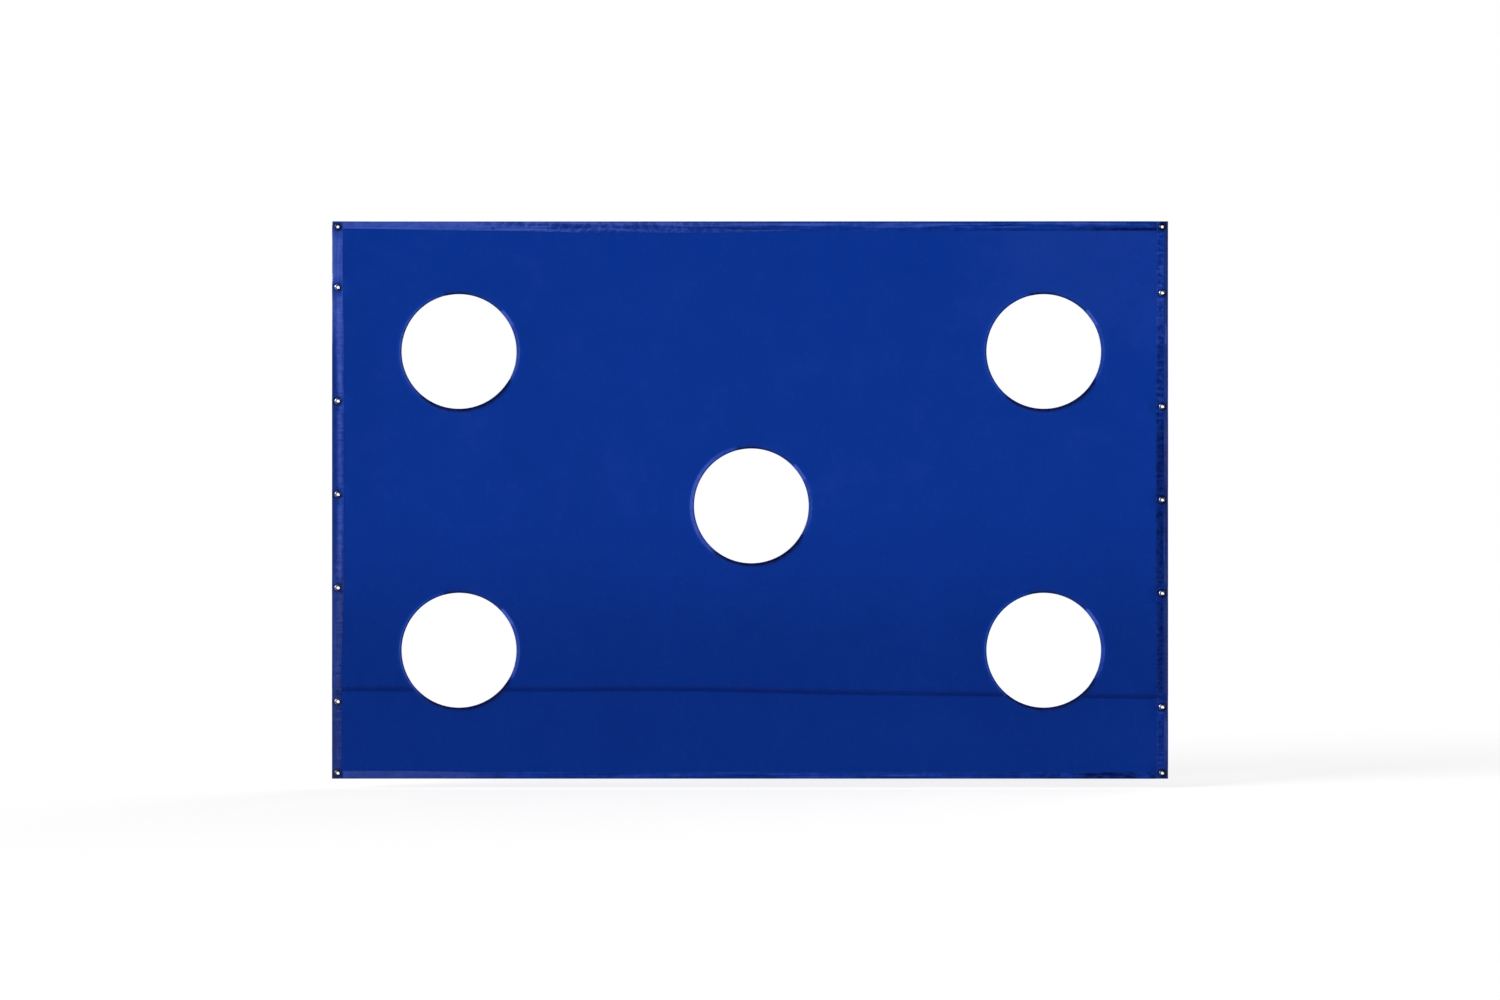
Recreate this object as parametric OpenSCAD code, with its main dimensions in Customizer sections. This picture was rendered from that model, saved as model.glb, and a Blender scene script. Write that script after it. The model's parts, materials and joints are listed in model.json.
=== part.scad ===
// Target sheet for a ball goal. A coated-fabric sheet with five tape-bound target
// holes, folded binding tape round its edges and clinched eyelets down both sides.
// Millimetres. X runs across the sheet, +Z is up and the front face looks to -Y.
// The origin is the middle of the sheet.

/* [Sheet] */
// Width of the finished sheet
sheet_w = 3000; // [2700:10:3600]
// Height of the finished sheet
sheet_h = 2000; // [1800:10:2400]
// Thickness of the coated fabric
fabric_t = 0.6; // [0.4:0.1:1.2]
// Gap left between a cut edge of the fabric and the tape folded round it
edge_gap = 0.2; // [0.1:0.1:1]

/* [Cross seam] */
// Height of the seam's left end above the bottom edge of the sheet
seam_height = 321; // [150:1:600]
// How much lower the seam's right end is
seam_fall = 28; // [0:1:60]
// Width of the lower panel's lap behind the upper panel
seam_lap = 16; // [8:1:30]
// Height over which the lower panel steps back into its lap
seam_step = 3; // [2:0.5:6]

/* [Target holes] */
// Diameter of each hole inside its binding
hole_d = 415; // [300:1:440]
// Distance of the four corner holes' middles from the side edges
hole_from_side = 451; // [400:1:600]
// Distance of the two upper holes' middles from the top edge
hole_from_top = 467; // [400:1:550]
// Distance of the two lower holes' middles from the bottom edge
hole_from_bottom = 461; // [400:1:550]
// Depth of the centre hole below the middle of the sheet
centre_drop = 21; // [-60:1:60]
// Shift of the whole hole pattern to the right
pattern_shift = 5; // [-20:1:20]

/* [Hole bindings] */
// Thickness of the tape round the holes
hole_tape_t = 0.5; // [0.3:0.1:0.8]
// Width of that tape seen on each face of the sheet
hole_band_w = 9; // [6:0.5:16]
// Length of the tape's end that laps over its start
lap_len = 50; // [20:1:90]
// How far the lapped end reaches past the tape beneath it
lap_cover = 1; // [0.5:0.5:3]
// Angle of the lapped end, counter-clockwise from the right seen from the front
lap_angle = 44; // [0:1:90]

/* [Edge bindings] */
// Thickness of the folded edge tape
edge_tape_t = 0.5; // [0.3:0.1:0.8]
// Width of the side bindings on each face
side_band_w = 40; // [36:1:60]
// Width of the top binding on each face
top_band_w = 34; // [24:1:60]
// Width of the bottom binding on each face
bottom_band_w = 24; // [20:1:60]

/* [Eyelets] */
// Diameter of the hole through an eyelet
eyelet_bore = 10; // [8:0.5:12]
// Wall thickness of the eyelet's barrel
barrel_wall = 0.5; // [0.3:0.1:0.8]
// Width of the domed flange on the front
flange_w = 6; // [4.5:0.5:7]
// Height of the domed flange
flange_rise = 1.4; // [0.8:0.1:2]
// Width of the rim rolled over the washer at the back
rim_w = 3; // [2:0.2:4]
// Height of the rolled rim
rim_rise = 0.8; // [0.5:0.1:1]
// Width of the washer, from the bore to its outer edge
washer_w = 6; // [4.6:0.2:7]
// Thickness of the washer
washer_t = 0.6; // [0.4:0.1:1]
// Clearance round the barrel in the fabric, the tape and the washer
barrel_fit = 0.1; // [0.05:0.05:0.3]

/* [Eyelet places] */
// Distance of the eyelets from the side edges
eyelet_in = 21; // [18:1:23]
// Distance of the corner eyelets from the top and bottom edges
corner_in = 20; // [16:1:26]
// Spacing from a corner eyelet to the next one along the side
corner_pitch = 237; // [180:1:300]
// Spacing of the three middle eyelets on each side
middle_pitch = 335; // [250:1:400]
// How much higher the left row sits than the right one, corners left out
left_lift = 20; // [0:1:40]

/* [Hidden] */
HOLE_NAMES = ["upper_left", "upper_right", "centre", "lower_left", "lower_right"];
SIDE_NAMES = ["left", "right"];
ROW_COUNT = 7;
HOLES = [0:len(HOLE_NAMES) - 1];
SIDES = [0:len(SIDE_NAMES) - 1];
ROW = [0:ROW_COUNT - 1];

function hole_node(h) = str(HOLE_NAMES[h], "_hole_binding");
function eyelet_node(s, i) = str(SIDE_NAMES[s], "_eyelet_", i + 1);
function washer_node(s, i) = str(SIDE_NAMES[s], "_washer_", i + 1);

$fn = 96;

FABRIC_COLOUR = [0.055, 0.196, 0.53];
TAPE_COLOUR = [0.2, 0.25, 0.62];
BRASS_COLOUR = [0.86, 0.78, 0.6];

half_w = sheet_w / 2;
half_h = sheet_h / 2;
half_fabric = fabric_t / 2;
seam_angle = atan(seam_fall / sheet_w);
seam_z = seam_height - seam_fall / 2 - half_h; // the seam's height half-way along
edge_face = half_fabric + edge_tape_t;   // the edge tape's face, from the mid-plane
hole_face = half_fabric + hole_tape_t;   // the hole tape's face, from the mid-plane
panel_half_w = half_w - edge_tape_t - edge_gap;
panel_half_h = half_h - edge_tape_t - edge_gap;
inner_half_w = half_w - side_band_w;     // to the inner edge of a side binding

hole_r = hole_d / 2;
cut_r = hole_r + hole_tape_t + edge_gap; // the hole as cut in the fabric
lap_r = hole_r + hole_band_w + lap_cover; // the outer edge of the tape's lapped end

bore_r = eyelet_bore / 2;
barrel_r = bore_r + barrel_wall;
punch_r = barrel_r + barrel_fit;         // the hole punched for a barrel

hole_out = half_w - hole_from_side;      // sideways, from the middle of the pattern
hole_up = half_h - hole_from_top;
hole_down = half_h - hole_from_bottom;

// Middle of target hole h, as [x, z]
hole_places = [
    [pattern_shift - hole_out, hole_up],
    [pattern_shift + hole_out, hole_up],
    [pattern_shift, -centre_drop],
    [pattern_shift - hole_out, -hole_down],
    [pattern_shift + hole_out, -hole_down]
];

// Heights of one side's eyelets, from the top
function row_heights(lift) =
    let (corner = half_h - corner_in, outer = corner - corner_pitch)
    [corner, lift + outer, lift + middle_pitch, lift,
     lift - middle_pitch, lift - outer, -corner];

// Middle of eyelet i on side s, as [x, z]
function eyelet_place(s, i) = s == 0
    ? [eyelet_in - half_w, row_heights(left_lift)[i]]
    : [half_w - eyelet_in, row_heights(0)[i]];

// A flat layer that fills y0 to y1, from an outline drawn in x and z
module layer(y0, y1) {
    translate([0, y1, 0]) rotate([90, 0, 0]) linear_extrude(height = y1 - y0) children();
}

// A turned shape round an axis at right angles to the sheet, its top to the front
module turned(place) {
    translate([place[0], 0, place[1]]) rotate([90, 0, 0]) children();
}

// A box in the sheet's plane, from its corners in x and z
module outline(x0, z0, x1, z1) {
    translate([x0, z0]) square([x1 - x0, z1 - z0]);
}

module hole_outlines(r) {
    for (h = HOLES) translate(hole_places[h]) circle(r = r);
}

module eyelet_outlines(s) {
    for (i = ROW) translate(eyelet_place(s, i)) circle(r = punch_r);
}

// The fabric's own cut-outs: the target holes and the punched eyelet holes
module fabric_cuts() {
    hole_outlines(cut_r);
    for (s = SIDES) eyelet_outlines(s);
}

// The whole cloth's outline, inside the tape round its edges
module cloth_outline() {
    outline(-panel_half_w, -panel_half_h, panel_half_w, panel_half_h);
}

// All that lies below a line along the seam, drawn that far above it
module below_seam(up) {
    translate([0, seam_z]) rotate(-seam_angle) outline(-sheet_w, -2 * sheet_h, sheet_w, up);
}

module upper_panel() {
    color(FABRIC_COLOUR)
    layer(-half_fabric, half_fabric)
    difference() {
        cloth_outline();
        below_seam(0);
        fabric_cuts();
    }
}

// The section through the lower panel's lap, with the seam at the origin
module lapped_section() {
    polygon([
        [-half_fabric, -seam_lap],
        [half_fabric, -seam_lap],
        [half_fabric, -seam_step],
        [half_fabric + fabric_t, 0],
        [half_fabric + fabric_t, seam_lap],
        [half_fabric, seam_lap],
        [half_fabric, 0],
        [-half_fabric, -seam_step]
    ]);
}

// The lap runs along the seam from one side binding to the other
module lap_strip(half_length) {
    intersection() {
        translate([0, 0, seam_z]) rotate([0, seam_angle, 0]) translate([-half_w, 0, 0])
            rotate([90, 0, 90]) linear_extrude(height = sheet_w) lapped_section();
        layer(-half_w, half_w) outline(-half_length, -half_h, half_length, half_h);
    }
}

// Flat cloth up to the seam inside the side bindings, and up to the step between them.
// The lap is cut away round the tape of a target hole.
module lower_panel() {
    lap_half_w = inner_half_w - edge_gap;
    color(FABRIC_COLOUR)
    difference() {
        union() {
            lap_strip(lap_half_w);
            layer(-half_fabric, half_fabric) difference() {
                intersection() {
                    cloth_outline();
                    below_seam(0);
                }
                difference() {
                    outline(-lap_half_w, -half_h, lap_half_w, half_h);
                    below_seam(-seam_step);
                }
            }
        }
        layer(-2 * fabric_t, 3 * fabric_t) fabric_cuts();
        layer(half_fabric, 3 * fabric_t) hole_outlines(lap_r + edge_gap);
    }
}

// The outline of a tape folded round an edge, its fold at the origin and its two
// leaves running towards +X
module folded_outline(width, face) {
    translate([face, 0]) circle(r = face);
    translate([face, -face]) square([width - face, 2 * face]);
}

// The same tape's section, with the slot between its leaves that holds the fabric
module folded_section(width, face, tape_t) {
    difference() {
        folded_outline(width, face);
        translate([tape_t, tape_t - face]) square([width, 2 * (face - tape_t)]);
    }
}

// A side binding runs the whole height, and its ends are turned in over the corners
module side_binding(s) {
    color(TAPE_COLOUR)
    difference() {
        mirror([s, 0, 0]) translate([-half_w, 0, -half_h]) difference() {
            linear_extrude(height = sheet_h) folded_outline(side_band_w, edge_face);
            translate([edge_tape_t, -half_fabric, edge_tape_t])
                cube([side_band_w, fabric_t, sheet_h - 2 * edge_tape_t]);
        }
        layer(-2 * edge_face, 2 * edge_face) eyelet_outlines(s);
    }
}

// The top and bottom bindings run between the side bindings
module cross_binding(width, up) {
    color(TAPE_COLOUR)
    translate([-inner_half_w, 0, up * half_h])
        rotate([90, 0, 90]) linear_extrude(height = 2 * inner_half_w)
            rotate(-90 * up) folded_section(width, edge_face, edge_tape_t);
}

module top_binding() cross_binding(top_band_w, 1);
module bottom_binding() cross_binding(bottom_band_w, -1);

// A ring of tape folded over a hole's cut edge, with its end lapped over its start.
// The lapped stretch begins half-way into the tape beneath, so that the two fuse.
module hole_binding(h) {
    lap_turn = lap_len / hole_r * 180 / PI;
    color(TAPE_COLOUR)
    turned(hole_places[h]) {
        rotate_extrude() translate([hole_r, 0])
            folded_section(hole_band_w, hole_face, hole_tape_t);
        rotate([0, 0, lap_angle - lap_turn]) rotate_extrude(angle = lap_turn)
            translate([hole_r - hole_tape_t, 0]) folded_section(
                lap_r - hole_r + hole_tape_t, hole_face + hole_tape_t, 1.5 * hole_tape_t
            );
    }
}

// The section of a domed ring from radius r0 to r1, standing on the radius axis
module dome_section(r0, r1, rise) {
    chord = r1 - r0;
    arc_r = (chord * chord / 4 + rise * rise) / (2 * rise);
    intersection() {
        translate([(r0 + r1) / 2, rise - arc_r]) circle(r = arc_r);
        translate([r0, 0]) square([chord, rise]);
    }
}

// Domed flange at the front, barrel through the fabric, rim rolled over at the back
module eyelet(s, i) {
    back = -edge_face - washer_t;
    color(BRASS_COLOUR)
    turned(eyelet_place(s, i)) rotate_extrude() {
        translate([0, edge_face]) dome_section(bore_r, bore_r + flange_w, flange_rise);
        translate([bore_r, back]) square([barrel_wall, edge_face - back]);
        translate([0, back]) mirror([0, 1])
            dome_section(bore_r, bore_r + rim_w, rim_rise);
    }
}

// A flat ring between the back of the tape and the eyelet's rolled rim
module washer(s, i) {
    round_r = washer_t / 2;
    color(BRASS_COLOUR)
    turned(eyelet_place(s, i)) rotate_extrude() translate([0, -edge_face - washer_t]) {
        translate([punch_r, 0]) square([bore_r + washer_w - round_r - punch_r, washer_t]);
        translate([bore_r + washer_w - round_r, round_r]) circle(r = round_r);
    }
}

upper_panel();
lower_panel();
top_binding();
bottom_binding();
side_binding(0);  // left_binding
side_binding(1);  // right_binding
for (h = HOLES) hole_binding(h);
for (s = SIDES, i = ROW) eyelet(s, i);
for (s = SIDES, i = ROW) washer(s, i);
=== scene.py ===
import json
import math

import bpy
import numpy as np
from bpy.props import FloatProperty, FloatVectorProperty, PointerProperty
from bpy.types import NodeSocket, Operator, Panel, PropertyGroup
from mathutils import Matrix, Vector
from mathutils.geometry import delaunay_2d_cdt


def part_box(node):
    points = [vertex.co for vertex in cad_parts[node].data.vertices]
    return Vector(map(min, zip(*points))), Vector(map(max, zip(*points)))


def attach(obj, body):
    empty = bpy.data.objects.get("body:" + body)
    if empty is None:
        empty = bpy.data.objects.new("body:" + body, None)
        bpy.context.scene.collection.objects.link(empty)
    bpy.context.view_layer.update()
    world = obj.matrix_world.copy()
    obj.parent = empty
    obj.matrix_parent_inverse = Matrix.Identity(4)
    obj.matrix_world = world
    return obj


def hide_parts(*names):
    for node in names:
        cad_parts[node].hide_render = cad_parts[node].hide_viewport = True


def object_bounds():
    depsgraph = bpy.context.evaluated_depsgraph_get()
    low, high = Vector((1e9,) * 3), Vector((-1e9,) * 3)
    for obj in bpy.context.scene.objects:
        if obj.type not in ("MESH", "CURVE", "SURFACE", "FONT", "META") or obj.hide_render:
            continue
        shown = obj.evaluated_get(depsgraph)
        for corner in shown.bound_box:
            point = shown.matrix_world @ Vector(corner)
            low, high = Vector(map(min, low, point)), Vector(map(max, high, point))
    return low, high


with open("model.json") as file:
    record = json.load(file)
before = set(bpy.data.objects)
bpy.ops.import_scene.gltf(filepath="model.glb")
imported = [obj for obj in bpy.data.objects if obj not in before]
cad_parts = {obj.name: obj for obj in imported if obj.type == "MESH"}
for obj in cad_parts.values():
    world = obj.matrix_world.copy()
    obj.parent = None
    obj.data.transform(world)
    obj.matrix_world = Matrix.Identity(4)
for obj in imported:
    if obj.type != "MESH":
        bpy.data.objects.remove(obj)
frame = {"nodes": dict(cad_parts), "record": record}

bl_info = {
    "name": "Goal target sheet",
    "version": (1, 0, 0),
    "blender": (4, 5, 0),
    "location": "View3D > Sidebar > Target sheet",
    "description": "Coated cloth target sheet with bound holes, bound edges and eyelets",
    "category": "Object",
}

MM = 0.001
CAD_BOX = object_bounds()
HALF_W = CAD_BOX[1][0]
HALF_H = CAD_BOX[1][2]
SIDES = {"left": -1, "right": 1}
EYELETS = [n for n in frame["nodes"] if "_eyelet_" in n]
WASHERS = [n for n in frame["nodes"] if "_washer_" in n]


def middle(lo, hi):
    """The middle of a box in the sheet's plane, as (x, z)."""
    return np.array([(lo[0] + hi[0]) / 2, (lo[2] + hi[2]) / 2])


def span(node, axis):
    """A node's lowest and highest place along an axis."""
    lo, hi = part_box(node)
    return lo[axis], hi[axis]


EYELET_PLACES = np.array([middle(*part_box(n)) for n in sorted(EYELETS)])
TARGETS = {
    opening["name"].replace("_target_hole", ""): middle(*opening["box_m"])
    for opening in frame["record"]["physics"]["openings"]
    if opening["name"].endswith("_target_hole")
}
TARGET_PLACES = np.array(list(TARGETS.values()))
SIDE_BAND = span("left_binding", 0)[1] + HALF_W
TOP_BAND = HALF_H - span("top_binding", 2)[0]
BOTTOM_BAND = HALF_H + span("bottom_binding", 2)[1]
LAP_TOP = span("lower_panel", 2)[1]
SEAM_DROP = 28 * MM           # the seam's right end is this much lower than its left
LAP = 16 * MM                 # the strip where the two panels overlap
SEAM_MIDDLE = LAP_TOP - LAP - SEAM_DROP / 2

FABRIC_HALF = 0.3 * MM
TAPE_SLOT = 0.36 * MM         # the inner face of a folded tape, from the cloth's middle
TAPE_FACE = 0.8 * MM          # its outer face
STRIP = 16 * MM               # a side tape's plain outer strip
CUT_GAP = 0.7 * MM            # the cloth's cut edge stays this far inside a tape's fold
PUNCH_R = 5.8 * MM            # the holes punched for the eyelet barrels
EYELET_IN = 21 * MM           # a side eyelet's middle, in from the sheet's edge
FLAT_R = 13 * MM              # the cloth lies flat this far out from an eyelet's middle
FLAT_FADE = 42 * MM           # its waves come back over this much more
LAP_STEP = 2 * FABRIC_HALF + 0.06 * MM    # the lower panel lies this far behind at the seam
LAP_CLEAR = 11 * MM           # the lapped strip stays this far from a target hole
RIM_GAP = 1.5 * MM            # loose points stay this far from a cut edge
TAPE_LAP = 50 * MM            # a hole tape's end laps this far over its start
LAP_END = 44                  # where that lap ends, in degrees up from the right
HOLE_TAPE_BACK = 10 * MM      # a hole tape's back leaf

RIM_POINTS = 132              # points round a target hole's cut edge
PUNCH_POINTS = 18             # points round a punched hole
COLLAR_POINTS = 24            # points round an eyelet's flange, in two rings
COLLAR_RADII = (9.5 * MM, FLAT_R)
ROW_SHARE = 0.87              # spacing of the panels' rows, as a share of the points' pitch
MERGE = 1e-7                  # points closer than this become one
SLIVER = 1e-12                # a triangle is left out if twice its area is less than this
SIDE_FINE = 56 * MM           # the finer points reach this far in from a side
HEM_FINE = 42 * MM            # and this far in from a hem
# lines and rings of finer points, in millimetres from a side, a hem and a target hole's edge
SIDE_LINES = (3, 7, 11, 15, 19, 24, 29, 34, 39, 44, 52)
HEM_LINES = (3, 8, 13, 18, 23, 28, 33, 38)
RIM_RINGS = (2.2, 4.4, 7, 10, 13.5, 17.5, 22, 27)
# places of the points across a tape's leaf, from its edge to the fold, and round the fold
LEAF_SHARES = (1, 0.965, 0.9, 0.8, 0.68, 0.55, 0.42, 0.3, 0.18, 0.08)
FINE_SHARES = (1, 0.97) + tuple(0.94 - 0.05 * k for k in range(18))
FOLD_BENDS = [math.pi * k / 6 for k in range(1, 6)]

# Painted shade, painted sheen and painted grey sheen, which a mesh's tone mixes into its colour
SHADE_BLUE = (0.0002, 0.0050, 0.062, 1)
SHEEN_BLUE = (0.040, 0.082, 0.41, 1)
GREY_SHEEN_BLUE = (0.034, 0.045, 0.125, 1)
# Painted brown shade for the eyelets at the sheet's corners
CORNER_SHADE_BROWN = (0.030, 0.019, 0.013, 1)
WHITE = (1, 1, 1, 1)
SENSOR = 36                   # width of the camera's sensor, in millimetres


class ClothSettings(PropertyGroup):
    """Sizes of the cloth's shape."""

    billow: FloatProperty(
        name="Billow", description="Height of the taut cloth's gentle waves",
        default=1.5 * MM, min=0, max=10 * MM, unit="LENGTH")
    hole_radius: FloatProperty(
        name="Hole radius", description="Clear radius of each target hole",
        default=205.5 * MM, min=0.1, max=0.3, unit="LENGTH")
    lip: FloatProperty(
        name="Hole lip", description="How far a hole's rim stands off the flat",
        default=5.5 * MM, min=0, max=8 * MM, unit="LENGTH")
    lip_reach: FloatProperty(
        name="Lip reach", description="Width of the turned cloth round a hole",
        default=24 * MM, min=5 * MM, max=80 * MM, unit="LENGTH")
    side_tilt: FloatProperty(
        name="Side tilt", description="Turn of the side bindings away from the front",
        default=math.radians(13), min=0, max=0.5, subtype="ANGLE")
    pucker: FloatProperty(
        name="Pucker", description="Height of the tapes' puckers",
        default=0.5 * MM, min=0, max=2 * MM, unit="LENGTH")
    seam_bow: FloatProperty(
        name="Seam bow", description="How far the seam bows up left of the middle",
        default=8 * MM, min=0, max=20 * MM, unit="LENGTH")
    mesh_pitch: FloatProperty(
        name="Mesh pitch", description="Spacing of the panels' points",
        default=15 * MM, min=5 * MM, max=50 * MM, unit="LENGTH")


class StitchSettings(PropertyGroup):
    """Sizes of the stitching."""

    pitch: FloatProperty(
        name="Pitch", description="Distance from one stitch to the next",
        default=4.2 * MM, min=2 * MM, max=10 * MM, unit="LENGTH")
    length: FloatProperty(
        name="Length", description="Length of one stitch",
        default=3.4 * MM, min=1 * MM, max=9 * MM, unit="LENGTH")
    thread: FloatProperty(
        name="Thread", description="Width of the thread",
        default=0.7 * MM, min=0.2 * MM, max=2 * MM, unit="LENGTH")
    inset: FloatProperty(
        name="Inset", description="Distance of a row from the tape's edge",
        default=2.6 * MM, min=1 * MM, max=8 * MM, unit="LENGTH")


class FinishSettings(PropertyGroup):
    """Colours and finishes."""

    cloth: FloatVectorProperty(
        name="Cloth", description="Colour of the coated cloth",
        default=(0.0021, 0.0284, 0.244, 1), size=4, min=0, max=1, subtype="COLOR")
    tape: FloatVectorProperty(
        name="Tape", description="Colour of the binding tape",
        default=(0.0018, 0.029, 0.245, 1), size=4, min=0, max=1, subtype="COLOR")
    thread: FloatVectorProperty(
        name="Thread", description="Colour of the sewing thread",
        default=(0.003, 0.022, 0.17, 1), size=4, min=0, max=1, subtype="COLOR")
    plating: FloatVectorProperty(
        name="Plating", description="Colour of the eyelets' dull nickel plating",
        default=(0.30, 0.32, 0.385, 1), size=4, min=0, max=1, subtype="COLOR")
    weave: FloatProperty(
        name="Weave pitch", description="Pitch of the scrim that shows through the coating",
        default=1.6 * MM, min=0.5 * MM, max=5 * MM, unit="LENGTH")


class StageSettings(PropertyGroup):
    """The studio round the sheet."""

    distance: FloatProperty(
        name="Camera distance", description="From the cloth to the camera",
        default=10, min=3, max=50, unit="LENGTH")
    view_width: FloatProperty(
        name="View width", description="Width that the camera sees at the cloth",
        default=5.382, min=3, max=12, unit="LENGTH")
    floor: FloatProperty(
        name="Floor", description="Height of the floor",
        default=-1.035, min=-3, max=-1, unit="LENGTH")
    key: FloatProperty(
        name="Key light", description="Strength of the large soft light from the left",
        default=4.6, min=0, max=20)
    key_side: FloatProperty(
        name="Key side", description="How far round to the left the key light stands",
        default=math.radians(65), min=0, max=1.5, subtype="ANGLE")
    key_height: FloatProperty(
        name="Key height", description="How far up the key light stands",
        default=math.radians(22), min=0, max=1.5, subtype="ANGLE")
    ambient: FloatProperty(
        name="Ambient", description="Level of the even light from all round",
        default=0.18, min=0, max=1)


# ---- the cloth's shape ----

def smooth(t):
    """From 0 to 1 with level ends."""
    t = np.clip(t, 0, 1)
    return t * t * (3 - 2 * t)


def ramp(value, start, end):
    """From 0 at the start to 1 at the end, which may be the lower one, and level past both."""
    return smooth((value - start) / (end - start))


def between(value, start, end, soft):
    """1 between start and end, 0 outside them, over soft edges."""
    return smooth((value - start) / soft + 0.5) * smooth((end - value) / soft + 0.5)


def ripple(along, seed, pitch, count=5):
    """An irregular wave of height about 1."""
    rng = np.random.default_rng(seed)
    total = np.zeros_like(along)
    for _ in range(count):
        rate = 2 * math.pi / (pitch * rng.uniform(0.62, 1.6))
        total += np.sin(rate * along + rng.uniform(0, 2 * math.pi))
    return total / math.sqrt(count)


def nearest(x, z, places):
    """Distance to the nearest of some places."""
    best = np.full(np.shape(x), np.inf)
    for cx, cz in places:
        best = np.minimum(best, np.hypot(x - cx, z - cz))
    return best


def flat_by_eyelets(x, z):
    """0 under an eyelet's flange, 1 well away from it."""
    return ramp(nearest(x, z, EYELET_PLACES), FLAT_R, FLAT_R + FLAT_FADE)


def waves(x, z, seed, shortest, longest, count):
    """Crossing waves whose heights follow their lengths, about 1 high at 1 m long."""
    rng = np.random.default_rng(seed)
    total = np.zeros_like(x)
    for _ in range(count):
        turn = rng.uniform(0, math.pi)
        length = rng.uniform(shortest, longest)
        along = math.cos(turn) * x + math.sin(turn) * z
        total += length * np.sin(2 * math.pi * along / length + rng.uniform(0, 2 * math.pi))
    return total / math.sqrt(count)


def billow(x, z):
    """The low waves that a taut sheet keeps."""
    cloth = bpy.context.scene.target_cloth
    inside = ramp(np.abs(x), HALF_W, HALF_W - 0.25) * ramp(np.abs(z), HALF_H, HALF_H - 0.2)
    low = waves(x, z, 11, 0.55, 1.5, 7)
    fine = waves(x, z, 12, 0.09, 0.24, 9)
    return cloth.billow * (low + 0.45 * fine) * inside


def corner_creases(x, z):
    """Soft tension creases that run from the corners into the sheet."""
    total = np.zeros_like(x)
    for side_x, side_z, height in ((-1, 1, 1), (1, 1, 0.7), (-1, -1, 0.45), (1, -1, 0.5)):
        cx, cz = side_x * HALF_W, side_z * HALF_H
        reach = np.hypot(x - cx, z - cz)
        turn = np.arctan2(side_z * (cz - z), side_x * (cx - x))
        fade = ramp(reach, 0.05, 0.17) * ramp(reach, 0.62, 0.22)
        total += height * fade * np.sin(turn * 13 + 2.2 * side_x + side_z) * 0.42 * MM
    return total


def edge_profile(depth, turned, curled):
    """Height across a side edge. depth runs in from the edge, turned is the band's slope, and
    curled is the slope of the outermost strip. Positive slopes rise towards the edge."""
    steps = np.linspace(0, 0.2, 401)
    end = 0.185
    band = between(steps, STRIP, SIDE_BAND - 2 * MM, 6 * MM)
    strip = between(steps, -1, STRIP - 2 * MM, 5 * MM)
    pull = between(steps, SIDE_BAND + 6 * MM, end, 30 * MM)
    pull = pull / pull.sum() * band.sum() * 0.34
    band_height = -np.cumsum((band - pull)[::-1])[::-1] * steps[1]
    strip_height = -np.cumsum(strip[::-1])[::-1] * steps[1]
    at_eyelets = np.interp(EYELET_IN, steps, band_height)
    band_height = band_height - at_eyelets * np.clip(1 - steps / end, 0, 1) ** 2
    return (
        -turned * np.interp(depth, steps, band_height)
        - curled * np.interp(depth, steps, strip_height))


def side_turns(x, z):
    """Both side edges fall away from the front between their eyelets."""
    tilt = math.tan(bpy.context.scene.target_cloth.side_tilt)
    left_tilt = tilt * (0.62 + 0.22 * ramp(z, -0.8, -0.2) + 0.35 * ramp(z, 0.1, 0.8))
    left_tilt += tilt * 0.10 * ripple(z, 5, 0.31)
    left_curl = tilt * (0.9 * ramp(z, 0.5, 0.7) + 0.05)
    right_tilt = tilt * (1.15 - 0.75 * ramp(z, 0.55, 0.9) + 0.12 * ripple(z, 8, 0.27))
    right_curl = -tilt * (1.15 + 0.3 * ripple(z, 9, 0.4)) * ramp(z, 0.7, 0.4)
    return (
        edge_profile(x + HALF_W, left_tilt, left_curl) * (x < 0)
        + edge_profile(HALF_W - x, right_tilt, right_curl) * (x > 0))


def hem_turns(x, z):
    """The top and bottom edges lean and wrinkle a little."""
    top_depth = HALF_H - z
    bottom_depth = HALF_H + z
    lean_top = 0.16 * ramp(x, 0.45, -0.75) - 0.14 * ramp(x, 0.75, 1.25)
    lean_bottom = -0.05 - 0.12 * ramp(x, 0.9, 1.3) + 0.10 * ramp(x, -0.8, -1.2)
    fall = ramp(top_depth, TOP_BAND + 50 * MM, 0)
    rise = ramp(bottom_depth, BOTTOM_BAND + 50 * MM, 0)
    busy = between(x, -0.98, -0.24, 0.2)
    folds = ripple(x + 0.35 * z, 21, 0.075) * (0.1 + 0.7 * busy) * 0.4 * MM
    folds *= ramp(top_depth, 0.16, 0.02)
    low_folds = ripple(x - 0.3 * z, 23, 0.10) * 0.25 * MM * ramp(bottom_depth, 0.12, 0.02)
    return (
        lean_top * (fall * TOP_BAND * 0.75)
        + lean_bottom * (rise * BOTTOM_BAND * 0.75)
        + folds + low_folds)


def hole_lips(x, z):
    """The cloth round a target hole turns to the front on one part of the rim and to the
    back on the other."""
    cloth = bpy.context.scene.target_cloth
    total = np.zeros_like(x)
    for name, (cx, cz) in TARGETS.items():
        out = np.hypot(x - cx, z - cz) - cloth.hole_radius
        turn = np.degrees(np.arctan2(z - cz, x - cx)) % 360
        near = np.clip(1 - out / cloth.lip_reach, 0, 1.06)
        forward = between(turn, 103, 327, 5)
        height = np.where(turn < 180, forward, between(turn, 90, 326, 14))
        lift = 1.2 if name == "centre" else 0.75
        rise = -lift * height * near ** 2
        fall = 0.8 * (1 - height) * near ** 2
        rolled = 0.34 * height * np.clip(1 - out / (4.5 * MM), 0, 1.2) ** 2
        total += cloth.lip * (rise + fall + rolled)
    return total


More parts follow.
